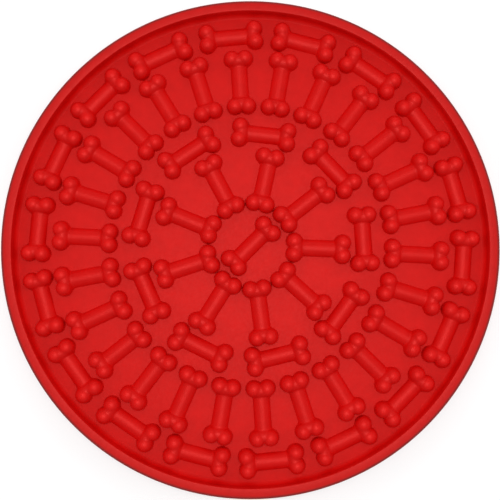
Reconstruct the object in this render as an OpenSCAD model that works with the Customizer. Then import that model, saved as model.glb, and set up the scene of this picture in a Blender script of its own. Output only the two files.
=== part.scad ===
// Round lick mat: a soft tray with a raised rim, rings of bone-shaped bumps that hold
// spread food, and suction cups under it that grip a smooth floor or wall.
// The origin is the centre of the mat's outline, on the plane that the cups' lips rest on.

/* [Sheet] */
// Thickness of the floor sheet
sheet_t = 2; // [1.5:0.1:4]
// Radius of the sheet's lower edge
sheet_round = 0.6; // [0.3:0.1:1.2]

/* [Rim] */
// Width of the raised rim at its foot
rim_w = 4.8; // [3.6:0.1:7]
// Height of the rim above the floor
rim_h = 5; // [4.5:0.1:8]
// How far the rim's inner wall leans back over its height
rim_draft = 0.35; // [0:0.05:0.6]
// Radius of the rim's outer top edge
rim_outer_round = 1.1; // [0.6:0.1:2]
// Radius of the rim's inner top edge
rim_inner_round = 0.5; // [0.2:0.1:0.9]

/* [Bones] */
// Length of a bone from end to end
bone_l = 26.4; // [24:0.1:30]
// Width of a bone across the two knobs of an end
bone_w = 12; // [11:0.1:12.8]
// Radius of a knob
knob_r = 3.36; // [3:0.02:3.6]
// Height of the knobs above the floor
knob_h = 4.4; // [3.8:0.1:5.5]
// Radius of the saddle that joins the two knobs of an end
saddle_r = 2.65; // [2.2:0.05:2.8]
// Height of the saddle above the floor
saddle_h = 3.85; // [3.2:0.05:4.1]
// How far the saddle sits from the knobs' centres, towards the shaft
saddle_inset = 0.7; // [0.4:0.05:0.8]
// Width of the shaft at the floor
shaft_w = 6.9; // [5.5:0.1:7.5]
// Height of the shaft above the floor
shaft_h = 2.3; // [1.8:0.1:3]

/* [Rings of bones, from the centre out] */
// Turn of the single bone at the centre
centre_turn = 45; // [0:1:180]
// Gap between the centre bone's length and the ends of the inner bones
centre_gap = 1; // [0.6:0.1:4]
// Least gap between neighbouring inner bones, which point at the centre
inner_side_gap = 0.3; // [0.2:0.1:4]
// Turn of the first inner bone
inner_turn = -2.15; // [-20:0.05:20]
// How far the inner bones reach in between the knobs of the middle bones
nesting = 0.8; // [0:0.1:0.9]
// Turn of each middle bone, which lies across the end of an inner bone, from that bone
middle_turn = 5.65; // [4.5:0.05:7]
// Gap between the middle bones and the ends of the spoke bones
middle_gap = 2.35; // [1:0.05:5]
// Least gap between neighbouring spoke bones, which point at the centre
spoke_side_gap = 1.85; // [0.5:0.05:5]
// Turn of the first spoke bone
spoke_turn = 10.8; // [0:0.1:20]
// Least gap between the ends of neighbouring outer bones, which lie along the rim
outer_end_gap = 1.9; // [0.5:0.1:5]
// Turn of the first outer bone
outer_turn = 15.5; // [0:0.1:20]
// Gap between the ends of the spoke bones and the outer bones
outer_gap = 0; // [0:0.1:4]
// Gap between the outer bones and the foot of the rim
rim_gap = 2.65; // [1:0.05:8]

/* [Suction cups] */
// Diameter of a cup's lip
cup_d = 24; // [18:0.5:28]
// Height of a cup from its lip to the sheet
cup_h = 4.5; // [4.2:0.1:6]
// Height of the domed part of a cup
bell_h = 3.4; // [3:0.1:3.8]
// Width of the flat lip
lip_w = 0.9; // [0.5:0.1:1.5]
// Depth of the hollow inside a cup
hollow_h = 2.4; // [1.8:0.1:2.7]
// Diameter of the neck that carries a cup
neck_d = 9; // [7:0.5:12]
// Gap between the mat's edge and the outer ring of cups
cup_inset = 15; // [8:0.5:20]
// Number of cups in the inner ring; the outer ring has twice as many
inner_cups = 6; // [4:1:6]

/* [Hidden] */
$fn = 96;
outline_fn = 360;
overrun = 1;

knob_x = bone_l / 2 - knob_r;
knob_y = bone_w / 2 - knob_r;
saddle_x = knob_x - saddle_inset;
shaft_r = (shaft_w * shaft_w / 4 + shaft_h * shaft_h) / (2 * shaft_h);

// The rings are laid out from the centre, and the rim stands round the last of them
inner_r = bone_l / 2 + centre_gap + bone_l / 2;
middle_r = inner_r + bone_l / 2 - nesting + bone_w / 2;
spoke_r = middle_r + bone_w / 2 + middle_gap + bone_l / 2;
outer_r = spoke_r + bone_l / 2 + outer_gap + bone_w / 2;
rim_foot_r = outer_r + bone_w / 2 + rim_gap;
mat_r = rim_foot_r + rim_w;
floor_z = cup_h + sheet_t;
rim_top_z = floor_z + rim_h;

// Each ring holds as many bones as its gap leaves room for
inner_n = pointing_n(inner_r, inner_side_gap);
middle_n = inner_n;
spoke_n = pointing_n(spoke_r, spoke_side_gap);
outer_n = lying_n(outer_r, outer_end_gap);

// The cups stand in two rings round one in the middle
outer_cups = 2 * inner_cups;
outer_cup_r = mat_r - cup_inset - cup_d / 2;
inner_cup_r = outer_cup_r / 2;
cup_places = concat([[0, 0, 0]], places(inner_cup_r, inner_cups), places(outer_cup_r, outer_cups));
cup_names = [for (i = [1:len(cup_places)]) str("suction_cup_", i)];

// How many bones that point at the centre fit round a ring of this radius, with this gap between knobs
function pointing_n(r, gap) =
    floor(180 / (atan(knob_y / (r - knob_x)) + asin((knob_r + gap / 2) / norm([r - knob_x, knob_y]))));

// How many bones that lie along a ring of this radius fit round it, with this gap between their ends
function lying_n(r, gap) = floor(180 / atan((bone_l + gap) / 2 / (r - bone_w / 2)));

// Evenly spaced places round a circle
function places(r, n) = [for (i = [0:n - 1]) [r * cos(i * 360 / n), r * sin(i * 360 / n), 0]];

// Points of an arc about [x, z], from one angle to another
function arc(x, z, r, from, to, steps = 12) =
    [for (i = [0:steps]) let (a = from + (to - from) * i / steps) [x + r * cos(a), z + r * sin(a)]];

// Radius of a sphere whose cap has this base radius and this height
function cap_sphere_r(base_r, h) = (base_r * base_r + h * h) / (2 * h);

// Thin disc that is the floor of the tray, with its lower edge rounded
module base_sheet() {
    color("firebrick")
        rotate_extrude($fn = outline_fn)
            polygon(concat(
                [[0, cup_h]],
                arc(mat_r - sheet_round, cup_h + sheet_round, sheet_round, -90, 0),
                [[mat_r, floor_z], [0, floor_z]]
            ));
}

// Rim that keeps the food in, standing on the edge of the sheet
module raised_rim() {
    color("indianred")
        rotate_extrude($fn = outline_fn)
            polygon(concat(
                [[rim_foot_r, floor_z], [mat_r, floor_z]],
                arc(mat_r - rim_outer_round, rim_top_z - rim_outer_round, rim_outer_round, 0, 90),
                arc(rim_foot_r + rim_draft + rim_inner_round, rim_top_z - rim_inner_round, rim_inner_round, 90, 180)
            ));
}

// Knob of a bone: a ball on a round foot with straight sides
module knob(x, y) {
    translate([x, y, 0]) {
        cylinder(r = knob_r, h = knob_h - knob_r);
        translate([0, 0, knob_h - knob_r])
            sphere(r = knob_r);
    }
}

// Saddle of a bone: a round bar from one knob's centre to the other's, on a straight foot
module saddle(x) {
    translate([x - saddle_r, -knob_y, 0])
        cube([2 * saddle_r, 2 * knob_y, saddle_h - saddle_r]);
    translate([x, knob_y, saddle_h - saddle_r])
        rotate([90, 0, 0])
            cylinder(r = saddle_r, h = 2 * knob_y);
}

// One bone lying along X on the plane z = 0, cut flat underneath
module bone() {
    intersection() {
        union() {
            translate([-saddle_x, 0, shaft_h - shaft_r])
                rotate([0, 90, 0])
                    cylinder(r = shaft_r, h = 2 * saddle_x);
            for (end = [-1, 1]) {
                saddle(end * saddle_x);
                for (side = [-1, 1])
                    knob(end * knob_x, side * knob_y);
            }
        }
        translate([-bone_l, -bone_w, 0])
            cube([2 * bone_l, 2 * bone_w, 2 * knob_h]);
    }
}

// Ring of bones on the floor: with lie 0 they point at the centre, with 90 they lie along the ring
module bone_ring(r, n, turn, lie) {
    translate([0, 0, floor_z])
        for (i = [0:n - 1])
            rotate(turn + i * 360 / n)
                translate([r, 0, 0])
                    rotate(lie)
                        bone();
}

module centre_bone() {
    color("crimson") bone_ring(0, 1, centre_turn, 0);
}

module inner_bones() {
    color("crimson") bone_ring(inner_r, inner_n, inner_turn, 0);
}

module middle_bones() {
    color("crimson") bone_ring(middle_r, middle_n, inner_turn + middle_turn, 90);
}

module spoke_bones() {
    color("crimson") bone_ring(spoke_r, spoke_n, spoke_turn, 0);
}

module outer_bones() {
    color("crimson") bone_ring(outer_r, outer_n, outer_turn, 90);
}

// Part of a sphere above z = 0, with this radius at its base and this height
module cap(base_r, h) {
    sphere_r = cap_sphere_r(base_r, h);
    intersection() {
        translate([0, 0, h - sphere_r])
            sphere(r = sphere_r);
        cylinder(r = base_r + overrun, h = h + overrun);
    }
}

// One suction cup: a shallow bell with a flat lip, hung from the sheet by its neck
module suction_cup() {
    difference() {
        union() {
            cap(cup_d / 2, bell_h);
            translate([0, 0, hollow_h + (bell_h - hollow_h) / 2])
                cylinder(d = neck_d, h = cup_h - hollow_h - (bell_h - hollow_h) / 2);
        }
        translate([0, 0, -overrun])
            cylinder(r = cup_d / 2 - lip_w, h = overrun);
        cap(cup_d / 2 - lip_w, hollow_h);
    }
}

module placed_cup(i) {
    color("firebrick") translate(cup_places[i]) suction_cup();
}

base_sheet();
raised_rim();
centre_bone();
inner_bones();
middle_bones();
spoke_bones();
outer_bones();
for (i = [0:len(cup_places) - 1])
    placed_cup(i);
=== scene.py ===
import math

import bpy
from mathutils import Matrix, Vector


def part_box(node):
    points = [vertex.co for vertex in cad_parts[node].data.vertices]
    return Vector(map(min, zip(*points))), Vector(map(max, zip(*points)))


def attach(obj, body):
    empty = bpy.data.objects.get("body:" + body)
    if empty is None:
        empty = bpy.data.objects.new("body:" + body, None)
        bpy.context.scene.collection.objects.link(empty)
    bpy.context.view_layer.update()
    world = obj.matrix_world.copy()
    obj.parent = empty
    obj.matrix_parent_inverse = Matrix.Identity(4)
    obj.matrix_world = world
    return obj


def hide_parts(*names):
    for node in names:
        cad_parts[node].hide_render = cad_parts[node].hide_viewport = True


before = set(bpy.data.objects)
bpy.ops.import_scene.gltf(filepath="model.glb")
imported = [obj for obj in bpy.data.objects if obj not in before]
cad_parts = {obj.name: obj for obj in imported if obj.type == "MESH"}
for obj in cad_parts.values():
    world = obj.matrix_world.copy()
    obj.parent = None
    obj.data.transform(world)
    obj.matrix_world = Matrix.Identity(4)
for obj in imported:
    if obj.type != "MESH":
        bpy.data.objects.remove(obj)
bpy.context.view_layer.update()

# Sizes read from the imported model, in metres
sheet_low, sheet_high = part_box("base_sheet")
MAT_RADIUS = sheet_high.x
SHEET_Z = sheet_low.z
FLOOR_Z = sheet_high.z
RIM_TOP_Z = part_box("raised_rim")[1].z
KNOB_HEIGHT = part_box("centre_bone")[1].z - FLOOR_Z

# Turned pieces: steps of a whole turn, of a small round and of the rim's outer round
ROUND_STEPS = 360
EDGE_STEPS = 8
OUTER_EDGE_STEPS = 12
MERGE_DISTANCE = 0.000002
TURNED_SMOOTH_ANGLE = math.radians(35)

# Sheet and rim, in metres and degrees
SHEET_EDGE_ROUND = 0.0006
RIM_WIDTH = 0.0048
RIM_DRAFT = 0.0005
RIM_OUTER_ROUND = 0.0011
RIM_INNER_ROUND = 0.0004
RIM_FOOT_ROUND = 0.0023
RIM_FOOT_ANGLE = 18
RIM_CROWN = 0.00008

# Bones
BONE_LENGTH = 0.0264
BONE_WIDTH = 0.012
KNOB_RADIUS = 0.00336
SADDLE_RADIUS = 0.00265
SADDLE_HEIGHT = 0.0037
SADDLE_INSET = 0.0008
COLLAR_INSET = 0.0011
COLLAR_SIZE = (0.0028, 0.0046, 0.0019)
SHAFT_WIDTH = 0.0069
SHAFT_HEIGHT = 0.0023
KNOB_X = BONE_LENGTH / 2 - KNOB_RADIUS
KNOB_Y = BONE_WIDTH / 2 - KNOB_RADIUS
SADDLE_X = KNOB_X - SADDLE_INSET

# How finely the forms of a bone are drawn, and how they are melted into one skin
BALL_RINGS = 32
KNOB_SIDES = 48
SADDLE_SIDES = 64
SHAFT_SIDES = 96
BONE_GRAIN = 0.00024
BONE_SMOOTHING = 12
SMOOTHING_PULL = 0.5
BONE_SMOOTH_ANGLE = math.radians(50)

# Foot of a bone: its height, how far it spreads, and the shares of both at each step down
FOOT_HEIGHT = 0.00028
FOOT_FLARE = 0.00022
FOOT_STEPS = ((0.5, 0.15), (0.3, 0.3), (0.2, 0.55))
FOOT_SMOOTHING = 2

# Rings of bones, from the centre out: gaps and turns as on the moulding
CENTRE_GAP = 0.001
NESTING = 0.0008
MIDDLE_GAP = 0.00235
OUTER_GAP = 0
INNER_RING = BONE_LENGTH + CENTRE_GAP
MIDDLE_RING = INNER_RING + BONE_LENGTH / 2 - NESTING + BONE_WIDTH / 2
SPOKE_RING = MIDDLE_RING + BONE_WIDTH / 2 + MIDDLE_GAP + BONE_LENGTH / 2
OUTER_RING = SPOKE_RING + BONE_LENGTH / 2 + OUTER_GAP + BONE_WIDTH / 2
# Each ring: its node, its radius, how many bones, the turn of the first in degrees,
# and whether they lie along the ring
RINGS = [
    ("centre_bone", 0, 1, 45, False),
    ("inner_bones", INNER_RING, 9, -2.15, False),
    ("middle_bones", MIDDLE_RING, 9, 3.5, True),
    ("spoke_bones", SPOKE_RING, 26, 10.8, False),
    ("outer_bones", OUTER_RING, 18, 15.5, True),
]

# Suction cups: the hollow, the lip and its rounded edge, the bell, and the neck.
# Rises and heights are from the plane that the lips rest on, and angles in degrees.
CUP_STEPS = 72
HOLLOW_HEIGHT = 0.0024
HOLLOW_STEPS = 15
LIP_WIDTH = 0.0009
LIP_INNER_Z = 0.00002
LIP_OUTER_INSET = 0.00015
LIP_OUTER_Z = 0.00005
LIP_ROUND = 0.0003
LIP_ROUND_Z = 0.00032
LIP_ROUND_ANGLES = (-20, 75)
LIP_ROUND_STEPS = 5
BELL_WALL = 0.001
BELL_INSET = 0.0008
BELL_RISE = 0.0002
BELL_STEPS = 11
NECK_RADIUS = 0.0045
NECK_FLARE = 0.0006
NECK_ROUND = 0.0004
NECK_ROUND_DROP = 0.0005
NECK_ROUND_ANGLES = (240, 120)
NECK_ROUND_STEPS = 6

# Camera: where it stands over the rim, and how it frames the mat
CAMERA_DISTANCE = 0.27
CAMERA_TILT = math.radians(3.03)
CAMERA_ROLL_SIDE = math.radians(-0.45)
CAMERA_LENS = 48.65
CAMERA_SENSOR = 36
CAMERA_SHIFT = (-0.0021, -0.0095)
CAMERA_NEAREST = 0.01

# Soft boxes: name, azimuth and elevation in degrees, width, depth, power, distance,
# and whether gloss shows it
SOFT_BOXES = [
    ("overhead", 90, 90, 0.5, 0.5, 2.54, 0.75, True),
    ("right box", 15, 25, 0.9, 0.6, 2.4, 1.2, False),
    ("back box", 90, 25, 0.9, 0.6, 2, 1.2, False),
    ("left box", 165, 25, 0.9, 0.6, 2.4, 1.2, False),
]
# Brightness of the room, and of what gloss shows of it
ROOM_LIGHT = 0.57
ROOM_GLOSS = 0.1
# Floor: its side, tone and roughness, and its glow to the camera and in gloss
FLOOR_SIZE = 6
FLOOR_TONE = (0.6, 0.6, 0.6, 1)
FLOOR_ROUGHNESS = 0.8
FLOOR_GLOW = 0.4

# Silicone: the two tones of its mottle, and its gloss
DEEP_RED = (0.667, 0.0016, 0.0013, 1)
BRIGHT_RED = (0.733, 0.0024, 0.002, 1)
SILICONE_IOR = 1.6
SILICONE_ROUGHNESS = (0.4, 0.5)
FLOOR_GLOSS = 0.6
TOP_GLOSS = 0.97
GLOSS_TINT = (1, 0.17, 0.155, 1)
# Noises: cells a metre, detail and roughness. Their values mostly lie in the usual range.
MOTTLE = (260, 3, 0.6)
SATIN = (900, 2, 0.5)
GRAIN = (2600, 3, 0.55)
USUAL_NOISE = (0.3, 0.7)
GRAIN_STRENGTH = 0.5
GRAIN_DEPTH = 0.00004
# Painted light and shade, not the silicone's own colour: how strong the colour is at shares of the
# height from the floor to the rim's top. The knob tops are painted lighter as a highlight, and the
# floor and the rim's top are painted darker as shade.
PAINTED_LIGHT_STOPS = [(0, 0.81), (0.15, 0.87), (0.44, 0.84), (0.72, 0.82), (0.86, 0.95), (0.94, 0.74)]
# Painted shade along the rim's outer edge, where its round turns away from the light: its middle,
# below and inside the edge, and its reach
EDGE_INSET = 0.0004
EDGE_DROP = 0.0001
EDGE_REACH = (0.0003, 0.0012)
EDGE_SHADE_COLOUR = (0.22, 0.016, 0.015, 1)


def deselect():
    """Leaves nothing selected, in object mode."""
    if bpy.context.object and bpy.context.object.mode == "EDIT":
        bpy.ops.object.mode_set(mode="OBJECT")
    bpy.ops.object.select_all(action="DESELECT")


def select_only(obj):
    """Selects one object and makes it the active one."""
    deselect()
    obj.select_set(True)
    bpy.context.view_layer.objects.active = obj


def edit(obj, mode="VERT"):
    """Goes into edit mode with nothing selected."""
    select_only(obj)
    bpy.ops.object.mode_set(mode="EDIT")
    bpy.ops.mesh.select_mode(type=mode)
    bpy.ops.mesh.select_all(action="DESELECT")


def arc(x, z, radius, start, end, steps):
    """Points of an arc in the XZ plane, from one angle in degrees to another."""
    angles = [math.radians(start + (end - start) * i / steps) for i in range(steps + 1)]
    return [(x + radius * math.cos(a), z + radius * math.sin(a)) for a in angles]


def lathe(name, outline, steps):
    """Draws an outline of (radius, height) points by extruding one vertex, and spins it round Z."""
    deselect()
    first_x, first_z = outline[0]
    bpy.ops.mesh.primitive_plane_add(size=MAT_RADIUS, location=(first_x, 0, first_z))
    obj = bpy.context.object
    obj.name = name
    bpy.ops.object.transform_apply(location=True, rotation=False, scale=False)
    edit(obj)
    bpy.ops.mesh.select_all(action="SELECT")
    bpy.ops.mesh.merge(type="CENTER")
    for (x, z), (next_x, next_z) in zip(outline, outline[1:]):
        move = {"value": (next_x - x, 0, next_z - z)}
        bpy.ops.mesh.extrude_region_move(TRANSFORM_OT_translate=move)
    bpy.ops.mesh.select_all(action="SELECT")
    bpy.ops.mesh.spin(steps=steps, angle=math.tau, center=(0, 0, 0), axis=(0, 0, 1))
    bpy.ops.mesh.select_all(action="SELECT")
    bpy.ops.mesh.remove_doubles(threshold=MERGE_DISTANCE)
    bpy.ops.mesh.normals_make_consistent(inside=False)
    bpy.ops.object.mode_set(mode="OBJECT")
    bpy.ops.object.shade_smooth_by_angle(angle=TURNED_SMOOTH_ANGLE)
    return obj


def copy_to(model, name, place, turn=0):
    """Copies a model piece to its place, with a mesh of its own that holds the place."""
    select_only(model)
    bpy.ops.object.duplicate(linked=False)
    piece = bpy.context.object
    piece.name = name
    piece.rotation_euler = (0, 0, turn)
    piece.location = place
    bpy.ops.object.transform_apply(location=True, rotation=True, scale=True)
    return piece


def part_of_mat(obj, material, *nodes):
    """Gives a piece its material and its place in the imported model."""
    obj.data.materials.clear()
    obj.data.materials.append(material)
    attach(obj, "root")
    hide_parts(*nodes)


def make_sheet(material):
    """Thin floor of the tray, with its lower edge rounded."""
    edge_x = MAT_RADIUS - SHEET_EDGE_ROUND
    edge_z = SHEET_Z + SHEET_EDGE_ROUND
    edge = arc(edge_x, edge_z, SHEET_EDGE_ROUND, -90, 0, EDGE_STEPS)
    outline = [(0, SHEET_Z)] + edge + [(MAT_RADIUS, FLOOR_Z), (0, FLOOR_Z)]
    obj = lathe("floor_sheet", outline, ROUND_STEPS)
    part_of_mat(obj, material, "base_sheet")


def make_rim(material):
    """Rim with a soft foot, a leaning inner wall, a crisp inner edge and a rounder outer one."""
    wall_x = MAT_RADIUS - RIM_WIDTH + RIM_DRAFT
    inner_x = wall_x + RIM_INNER_ROUND
    outer_x = MAT_RADIUS - RIM_OUTER_ROUND
    foot_x = wall_x - RIM_FOOT_ROUND
    foot_z = FLOOR_Z + RIM_FOOT_ROUND * math.cos(math.radians(RIM_FOOT_ANGLE))
    shoulder = RIM_TOP_Z - RIM_CROWN
    outline = arc(foot_x, foot_z, RIM_FOOT_ROUND, RIM_FOOT_ANGLE - 90, 0, EDGE_STEPS)
    outline += arc(inner_x, shoulder - RIM_INNER_ROUND, RIM_INNER_ROUND, 180, 90, EDGE_STEPS)
    outline += [((inner_x + outer_x) / 2, RIM_TOP_Z)]
    outline += arc(outer_x, shoulder - RIM_OUTER_ROUND, RIM_OUTER_ROUND, 90, 0, OUTER_EDGE_STEPS)
    outline += [(MAT_RADIUS, FLOOR_Z), outline[0]]
    obj = lathe("rim", outline, ROUND_STEPS)
    part_of_mat(obj, material, "raised_rim")


def add_saddle(x):
    """Round bar across an end of a bone, between the knobs' centres, on a straight foot."""
    centre_z = SADDLE_HEIGHT - SADDLE_RADIUS
    bpy.ops.mesh.primitive_cylinder_add(
        vertices=SADDLE_SIDES, radius=SADDLE_RADIUS, depth=2 * KNOB_Y,
        location=(x, 0, centre_z), rotation=(math.pi / 2, 0, 0)
    )
    bar = bpy.context.object
    bpy.ops.mesh.primitive_cube_add(location=(x, 0, centre_z - SADDLE_RADIUS / 2))
    bpy.ops.transform.resize(value=(SADDLE_RADIUS, KNOB_Y, SADDLE_RADIUS / 2))
    return [bar, bpy.context.object]


def add_knob(x, y):
    """One knob of a bone: a ball on a round foot with straight sides."""
    centre_z = KNOB_HEIGHT - KNOB_RADIUS
    bpy.ops.mesh.primitive_uv_sphere_add(
        segments=KNOB_SIDES, ring_count=BALL_RINGS, radius=KNOB_RADIUS, location=(x, y, centre_z)
    )
    ball = bpy.context.object
    bpy.ops.mesh.primitive_cylinder_add(
        vertices=KNOB_SIDES, radius=KNOB_RADIUS, depth=KNOB_RADIUS,
        location=(x, y, centre_z - KNOB_RADIUS / 2)
    )
    return [ball, bpy.context.object]


def add_collar(x):
    """Low swelling beside the shaft where it runs into an end of the bone."""
    bpy.ops.mesh.primitive_uv_sphere_add(
        segments=SADDLE_SIDES, ring_count=BALL_RINGS, radius=1, location=(x, 0, 0)
    )
    bpy.ops.transform.resize(value=COLLAR_SIZE)
    return [bpy.context.object]


def add_shaft():
    """Low round shaft between the two ends."""
    radius = (SHAFT_WIDTH ** 2 / 4 + SHAFT_HEIGHT ** 2) / (2 * SHAFT_HEIGHT)
    bpy.ops.mesh.primitive_cylinder_add(
        vertices=SHAFT_SIDES, radius=radius, depth=2 * SADDLE_X,
        location=(0, 0, SHAFT_HEIGHT - radius), rotation=(0, math.pi / 2, 0)
    )
    return [bpy.context.object]


def flare_foot(obj):
    """Cuts a bone just above the floor, clears loose ends, and draws its edge down and outwards."""
    edit(obj, "EDGE")
    bpy.ops.mesh.select_all(action="SELECT")
    bpy.ops.mesh.bisect(plane_co=(0, 0, FOOT_HEIGHT), plane_no=(0, 0, 1), clear_inner=True)
    bpy.ops.mesh.select_all(action="SELECT")
    bpy.ops.mesh.delete_loose()
    bpy.ops.mesh.select_all(action="DESELECT")
    bpy.ops.mesh.select_non_manifold(
        use_wire=False, use_multi_face=False, use_non_contiguous=False
    )
    for drop_share, flare_share in FOOT_STEPS:
        move = {"value": (0, 0, -FOOT_HEIGHT * drop_share)}
        bpy.ops.mesh.extrude_region_move(TRANSFORM_OT_translate=move)
        bpy.ops.transform.shrink_fatten(value=FOOT_FLARE * flare_share)
        bpy.ops.mesh.vertices_smooth(factor=SMOOTHING_PULL, repeat=FOOT_SMOOTHING)
    bpy.ops.transform.resize(value=(1, 1, 0), center_override=(0, 0, 0))
    bpy.ops.mesh.edge_face_add()
    bpy.ops.mesh.select_all(action="SELECT")
    bpy.ops.mesh.normals_make_consistent(inside=False)
    bpy.ops.object.mode_set(mode="OBJECT")


def make_bone():
    """One bone lying along X on the plane z = 0: its forms melted into one skin."""
    deselect()
    forms = add_shaft()
    for end in (-1, 1):
        forms += add_saddle(end * SADDLE_X) + add_collar(end * (SADDLE_X - COLLAR_INSET))
        for side in (-1, 1):
            forms += add_knob(end * KNOB_X, side * KNOB_Y)
    deselect()
    for form in forms:
        form.select_set(True)
    bpy.context.view_layer.objects.active = forms[0]
    bpy.ops.object.join()
    bone = bpy.context.object
    bpy.ops.object.transform_apply(location=True, rotation=True, scale=True)
    skin = bone.modifiers.new("Skin", "REMESH")
    skin.mode = "VOXEL"
    skin.voxel_size = BONE_GRAIN
    bpy.ops.object.modifier_apply(modifier=skin.name)
    smooth = bone.modifiers.new("Smooth", "SMOOTH")
    smooth.factor = SMOOTHING_PULL
    smooth.iterations = BONE_SMOOTHING
    bpy.ops.object.modifier_apply(modifier=smooth.name)
    flare_foot(bone)
    select_only(bone)
    bpy.ops.object.shade_smooth_by_angle(angle=BONE_SMOOTH_ANGLE)
    return bone


def make_bones(material):
    """Copies the bone round each ring of the pattern."""
    model = make_bone()
    for node, radius, count, first, along in RINGS:
        for number in range(count):
            turn = math.radians(first + 360 * number / count)
            place = (radius * math.cos(turn), radius * math.sin(turn), FLOOR_Z)
            lie = math.pi / 2 if along else 0
            bone = copy_to(model, f"{node}_{number + 1}", place, turn + lie)
            part_of_mat(bone, material, node)
    bpy.data.objects.remove(model)


def cup_outline(cup_radius):
    """Half section of a suction cup: hollow, lip, bell, neck and the flare into the sheet."""
    hollow_radius = cup_radius - LIP_WIDTH
    outline = [(0, HOLLOW_HEIGHT)]
    for i in range(1, HOLLOW_STEPS):
        share = i / HOLLOW_STEPS
        outline.append((hollow_radius * share, HOLLOW_HEIGHT * (1 - share ** 2)))
    outline += [
        (hollow_radius, LIP_INNER_Z),
        (cup_radius - LIP_WIDTH / 2, 0),
        (cup_radius - LIP_OUTER_INSET, LIP_OUTER_Z),
    ]
    lip_x = cup_radius - LIP_ROUND
    outline += arc(lip_x, LIP_ROUND_Z, LIP_ROUND, *LIP_ROUND_ANGLES, LIP_ROUND_STEPS)
    bell_foot = cup_radius - BELL_INSET
    bell_end = NECK_RADIUS + NECK_FLARE
    bell_top = HOLLOW_HEIGHT + BELL_WALL
    for i in range(1, BELL_STEPS):
        x = bell_end + (bell_foot - bell_end) * (1 - i / BELL_STEPS)
        outline.append((x, bell_top * (1 - (x / cup_radius) ** 2) + BELL_RISE))
    neck_x = NECK_RADIUS + NECK_ROUND
    neck_z = SHEET_Z - NECK_ROUND_DROP
    outline += arc(neck_x, neck_z, NECK_ROUND, *NECK_ROUND_ANGLES, NECK_ROUND_STEPS)
    outline += [(bell_end, SHEET_Z), (0, SHEET_Z)]
    return outline


def make_cups(material):
    """Suction cups, copied from one turned model, each where its node is."""
    cups = sorted(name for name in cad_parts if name.startswith("suction_cup_"))
    low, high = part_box(cups[0])
    model = lathe("suction_cup", cup_outline((high.x - low.x) / 2), CUP_STEPS)
    for node in cups:
        low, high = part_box(node)
        place = ((low.x + high.x) / 2, (low.y + high.y) / 2, 0)
        cup = copy_to(model, node.replace("suction_cup", "cup"), place)
        part_of_mat(cup, material, node)
    bpy.data.objects.remove(model)


def new_material(name):
    """A material, its node tree and its Principled shader."""
    material = bpy.data.materials.new(name)
    material.use_nodes = True
    tree = material.node_tree
    return material, tree, tree.nodes["Principled BSDF"]


def noise(tree, place, kind):
    """Noise of one kind on the mat's own coordinates."""
    node = tree.nodes.new("ShaderNodeTexNoise")
    for socket, value in zip(("Scale", "Detail", "Roughness"), kind):
        node.inputs[socket].default_value = value
    tree.links.new(place, node.inputs["Vector"])
    return node.outputs["Fac"]


def spread(tree, value, low, high, span=USUAL_NOISE):
    """Maps a value that lies in a span, a noise's unless told otherwise, to a range."""
    node = tree.nodes.new("ShaderNodeMapRange")
    node.inputs["From Min"].default_value, node.inputs["From Max"].default_value = span
    node.inputs["To Min"].default_value = low
    node.inputs["To Max"].default_value = high
    tree.links.new(value, node.inputs["Value"])
    return node.outputs["Result"]


def vector_step(tree, operation, vector, other=None):
    """One step of vector arithmetic, with a fixed second vector where it needs one."""
    node = tree.nodes.new("ShaderNodeVectorMath")
    node.operation = operation
    tree.links.new(vector, node.inputs[0])
    if other:
        node.inputs[1].default_value = other
    return node


def mix(tree, first, second, factor):
    """Mixes two colours; the first may come from another node."""
    node = tree.nodes.new("ShaderNodeMix")
    node.data_type = "RGBA"
    if isinstance(first, tuple):
        node.inputs["A"].default_value = first
    else:
        tree.links.new(first, node.inputs["A"])
    node.inputs["B"].default_value = second
    tree.links.new(factor, node.inputs["Factor"])
    return node.outputs["Result"]


def paint_light_by_height(tree, colour, height):
    """Paints light and shade into a colour: dims it by the share that belongs to each height."""
    ramp = tree.nodes.new("ShaderNodeValToRGB")
    stops = ramp.color_ramp.elements
    while len(stops) < len(PAINTED_LIGHT_STOPS):
        stops.new(0.5)
    for stop, (place, level) in zip(stops, PAINTED_LIGHT_STOPS):
        stop.position = place
        stop.color = (level, level, level, 1)
    share = spread(tree, height, 0, 1, (FLOOR_Z, RIM_TOP_Z))
    tree.links.new(share, ramp.inputs["Fac"])
    painted_light = vector_step(tree, "SCALE", colour)
    tree.links.new(ramp.outputs["Color"], painted_light.inputs["Scale"])
    return painted_light.outputs["Vector"]


def paint_edge_shade(tree, colour, place, height):
    """Paints shade along the outer edge of the rim by mixing in a dark colour."""
    flat = vector_step(tree, "MULTIPLY", place, (1, 1, 0))
    radius = vector_step(tree, "LENGTH", flat.outputs["Vector"])
    section = tree.nodes.new("ShaderNodeCombineXYZ")
    tree.links.new(radius.outputs["Value"], section.inputs["X"])
    tree.links.new(height, section.inputs["Z"])
    middle = (MAT_RADIUS - EDGE_INSET, 0, RIM_TOP_Z - EDGE_DROP)
    distance = vector_step(tree, "DISTANCE", section.outputs["Vector"], middle)
    edge_shade = spread(tree, distance.outputs["Value"], 1, 0, EDGE_REACH)
    return mix(tree, colour, EDGE_SHADE_COLOUR, edge_shade)


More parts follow.
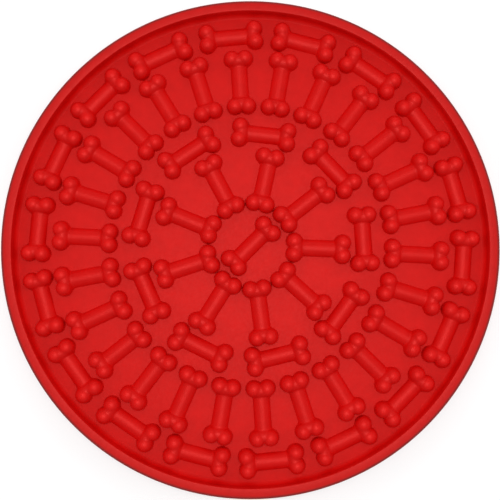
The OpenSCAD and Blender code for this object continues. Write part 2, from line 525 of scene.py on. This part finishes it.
def silicone():
    """Red moulded silicone: satin, faintly mottled, with the fine grain of the mould, and with
    light and shade painted into its colour.
    """
    material, tree, shader = new_material("Red silicone")
    place = tree.nodes.new("ShaderNodeTexCoord").outputs["Object"]
    axes = tree.nodes.new("ShaderNodeSeparateXYZ")
    tree.links.new(place, axes.inputs["Vector"])
    height = axes.outputs["Z"]

    mottle = spread(tree, noise(tree, place, MOTTLE), 0, 1)
    colour = mix(tree, DEEP_RED, BRIGHT_RED, mottle)
    # painted light and shade: colour lighter on the knob tops, darker on the floor and on the rim's
    # top
    colour = paint_light_by_height(tree, colour, height)
    # painted shade: a dark line along the rim's outer edge
    colour = paint_edge_shade(tree, colour, place, height)
    tree.links.new(colour, shader.inputs["Base Color"])

    span = (FLOOR_Z, FLOOR_Z + KNOB_HEIGHT)
    level = spread(tree, height, FLOOR_GLOSS, TOP_GLOSS, span)
    tree.links.new(level, shader.inputs["Specular IOR Level"])
    rough = spread(tree, noise(tree, place, SATIN), *SILICONE_ROUGHNESS)
    tree.links.new(rough, shader.inputs["Roughness"])
    shader.inputs["Specular Tint"].default_value = GLOSS_TINT
    shader.inputs["IOR"].default_value = SILICONE_IOR

    grain = tree.nodes.new("ShaderNodeBump")
    grain.inputs["Strength"].default_value = GRAIN_STRENGTH
    grain.inputs["Distance"].default_value = GRAIN_DEPTH
    tree.links.new(noise(tree, place, GRAIN), grain.inputs["Height"])
    tree.links.new(grain.outputs["Normal"], shader.inputs["Normal"])
    return material


def white_floor():
    """Pale floor that looks white to the camera and in gloss, and keeps the mat's shadow."""
    material, tree, shader = new_material("White floor")
    shader.inputs["Base Color"].default_value = FLOOR_TONE
    shader.inputs["Roughness"].default_value = FLOOR_ROUGHNESS
    shader.inputs["Specular IOR Level"].default_value = 0
    path = tree.nodes.new("ShaderNodeLightPath")
    seen = tree.nodes.new("ShaderNodeMath")
    seen.operation = "MAXIMUM"
    tree.links.new(path.outputs["Is Camera Ray"], seen.inputs[0])
    tree.links.new(path.outputs["Is Glossy Ray"], seen.inputs[1])
    glow = tree.nodes.new("ShaderNodeMath")
    glow.operation = "MULTIPLY"
    glow.inputs[1].default_value = FLOOR_GLOW
    tree.links.new(seen.outputs["Value"], glow.inputs[0])
    shader.inputs["Emission Color"].default_value = (1, 1, 1, 1)
    tree.links.new(glow.outputs["Value"], shader.inputs["Emission Strength"])
    return material


def make_stage():
    """Plain floor under the mat."""
    deselect()
    bpy.ops.mesh.primitive_plane_add(size=FLOOR_SIZE, location=(0, 0, 0))
    floor = bpy.context.object
    floor.name = "floor"
    floor.data.materials.append(white_floor())


def add_soft_box(name, azimuth, elevation, width, depth, power, distance, gloss):
    """A soft box in this direction from the mat, facing the middle of it."""
    light = bpy.data.lights.new(name, "AREA")
    light.shape = "RECTANGLE"
    light.size = width
    light.size_y = depth
    light.energy = power
    obj = bpy.data.objects.new(name, light)
    bpy.context.scene.collection.objects.link(obj)
    across = distance * math.cos(math.radians(elevation))
    place = Vector((
        across * math.cos(math.radians(azimuth)),
        across * math.sin(math.radians(azimuth)),
        distance * math.sin(math.radians(elevation)),
    ))
    obj.location = place
    obj.rotation_euler = place.to_track_quat("Z", "Y").to_euler()
    obj.visible_camera = False
    obj.visible_glossy = gloss


def make_room():
    """Bright even room, which gloss shows darker than it lights."""
    world = bpy.data.worlds.new("Room")
    world.use_nodes = True
    tree = world.node_tree
    background = tree.nodes["Background"]
    background.inputs["Color"].default_value = (1, 1, 1, 1)
    path = tree.nodes.new("ShaderNodeLightPath")
    level = spread(tree, path.outputs["Is Glossy Ray"], ROOM_LIGHT, ROOM_GLOSS, (0, 1))
    tree.links.new(level, background.inputs["Strength"])
    bpy.context.scene.world = world


def make_camera():
    """Camera straight over the mat, a little towards its lower edge."""
    camera = bpy.data.cameras.new("camera")
    camera.sensor_width = CAMERA_SENSOR
    camera.lens = CAMERA_LENS
    camera.shift_x, camera.shift_y = CAMERA_SHIFT
    camera.clip_start = CAMERA_NEAREST
    obj = bpy.data.objects.new("camera", camera)
    bpy.context.scene.collection.objects.link(obj)
    obj.rotation_euler = (CAMERA_TILT, CAMERA_ROLL_SIDE, 0)
    back = obj.rotation_euler.to_matrix() @ Vector((0, 0, CAMERA_DISTANCE))
    obj.location = Vector((0, 0, RIM_TOP_Z)) + back
    bpy.context.scene.camera = obj


red = silicone()
make_sheet(red)
make_rim(red)
make_bones(red)
make_cups(red)
make_stage()
for box in SOFT_BOXES:
    add_soft_box(*box)
make_room()
make_camera()
bpy.context.scene.view_settings.view_transform = "Standard"
